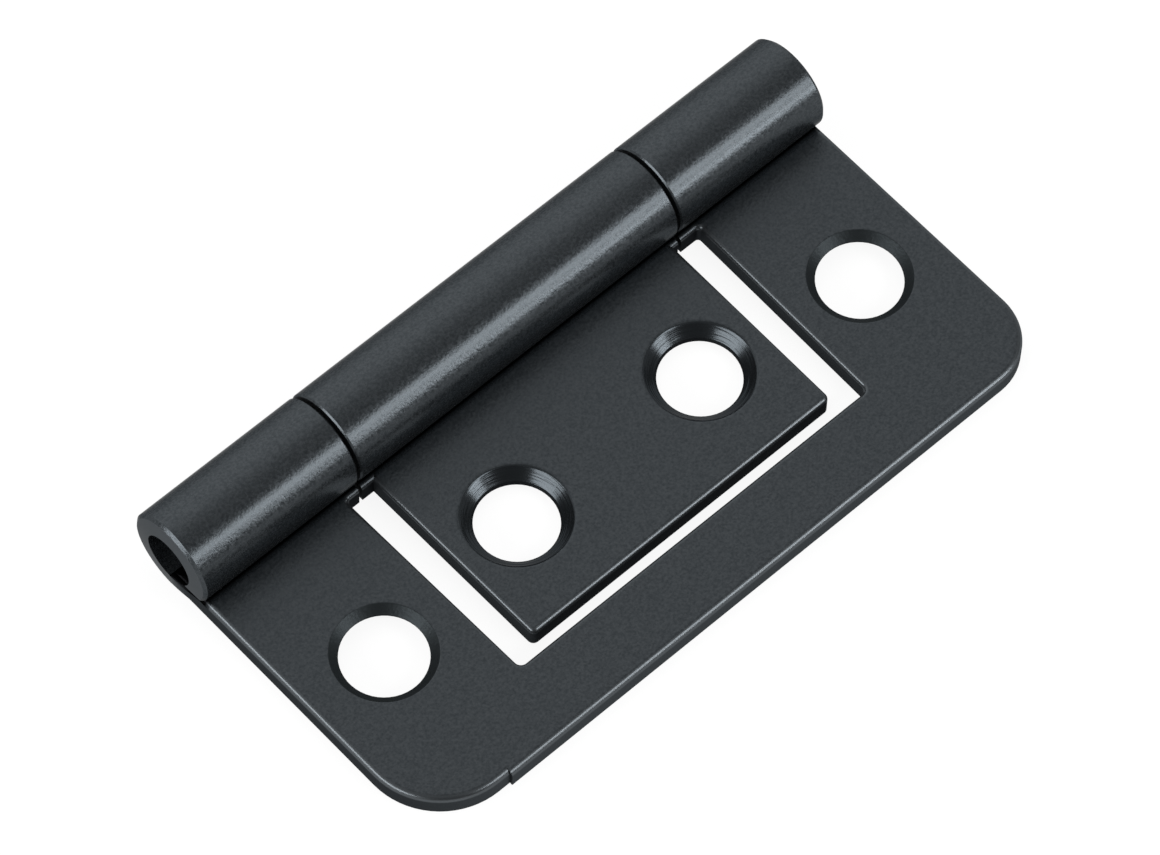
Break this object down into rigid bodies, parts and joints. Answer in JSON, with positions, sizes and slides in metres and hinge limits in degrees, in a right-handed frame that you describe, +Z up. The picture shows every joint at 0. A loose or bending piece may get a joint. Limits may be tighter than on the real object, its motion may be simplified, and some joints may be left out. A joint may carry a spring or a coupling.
{
  "type": "flush hinge",
  "caption": "Closed flush hinge of coated sheet steel: the inner leaf nests in a window in the outer leaf, and rolled knuckles turn on a hidden pin. Screws fix each leaf.",
  "frame": {"origin": "under the middle of the closed hinge, in the plane of the leaves' backs", "axes": "+X along the pin, +Y from the leaves' front edge towards the barrel, +Z up from the backs towards the barrel's top"},
  "size_m": [0.0506, 0.0266, 0.0064],
  "materials": {
    "coated_steel": "satin",
    "pin_steel": "plain"
  },
  "bodies": {
    "outer": {"outer_leaf": "coated_steel", "hinge_pin": "pin_steel"},
    "inner": {"inner_leaf": "coated_steel"}
  },
  "joints": [
    {"name": "leaf_swing", "type": "hinge", "parent": "outer", "child": "inner", "pos_m": [0, 0.01009, 0.0032], "axis": [-1, 0, 0], "continuous": true}
  ]
}
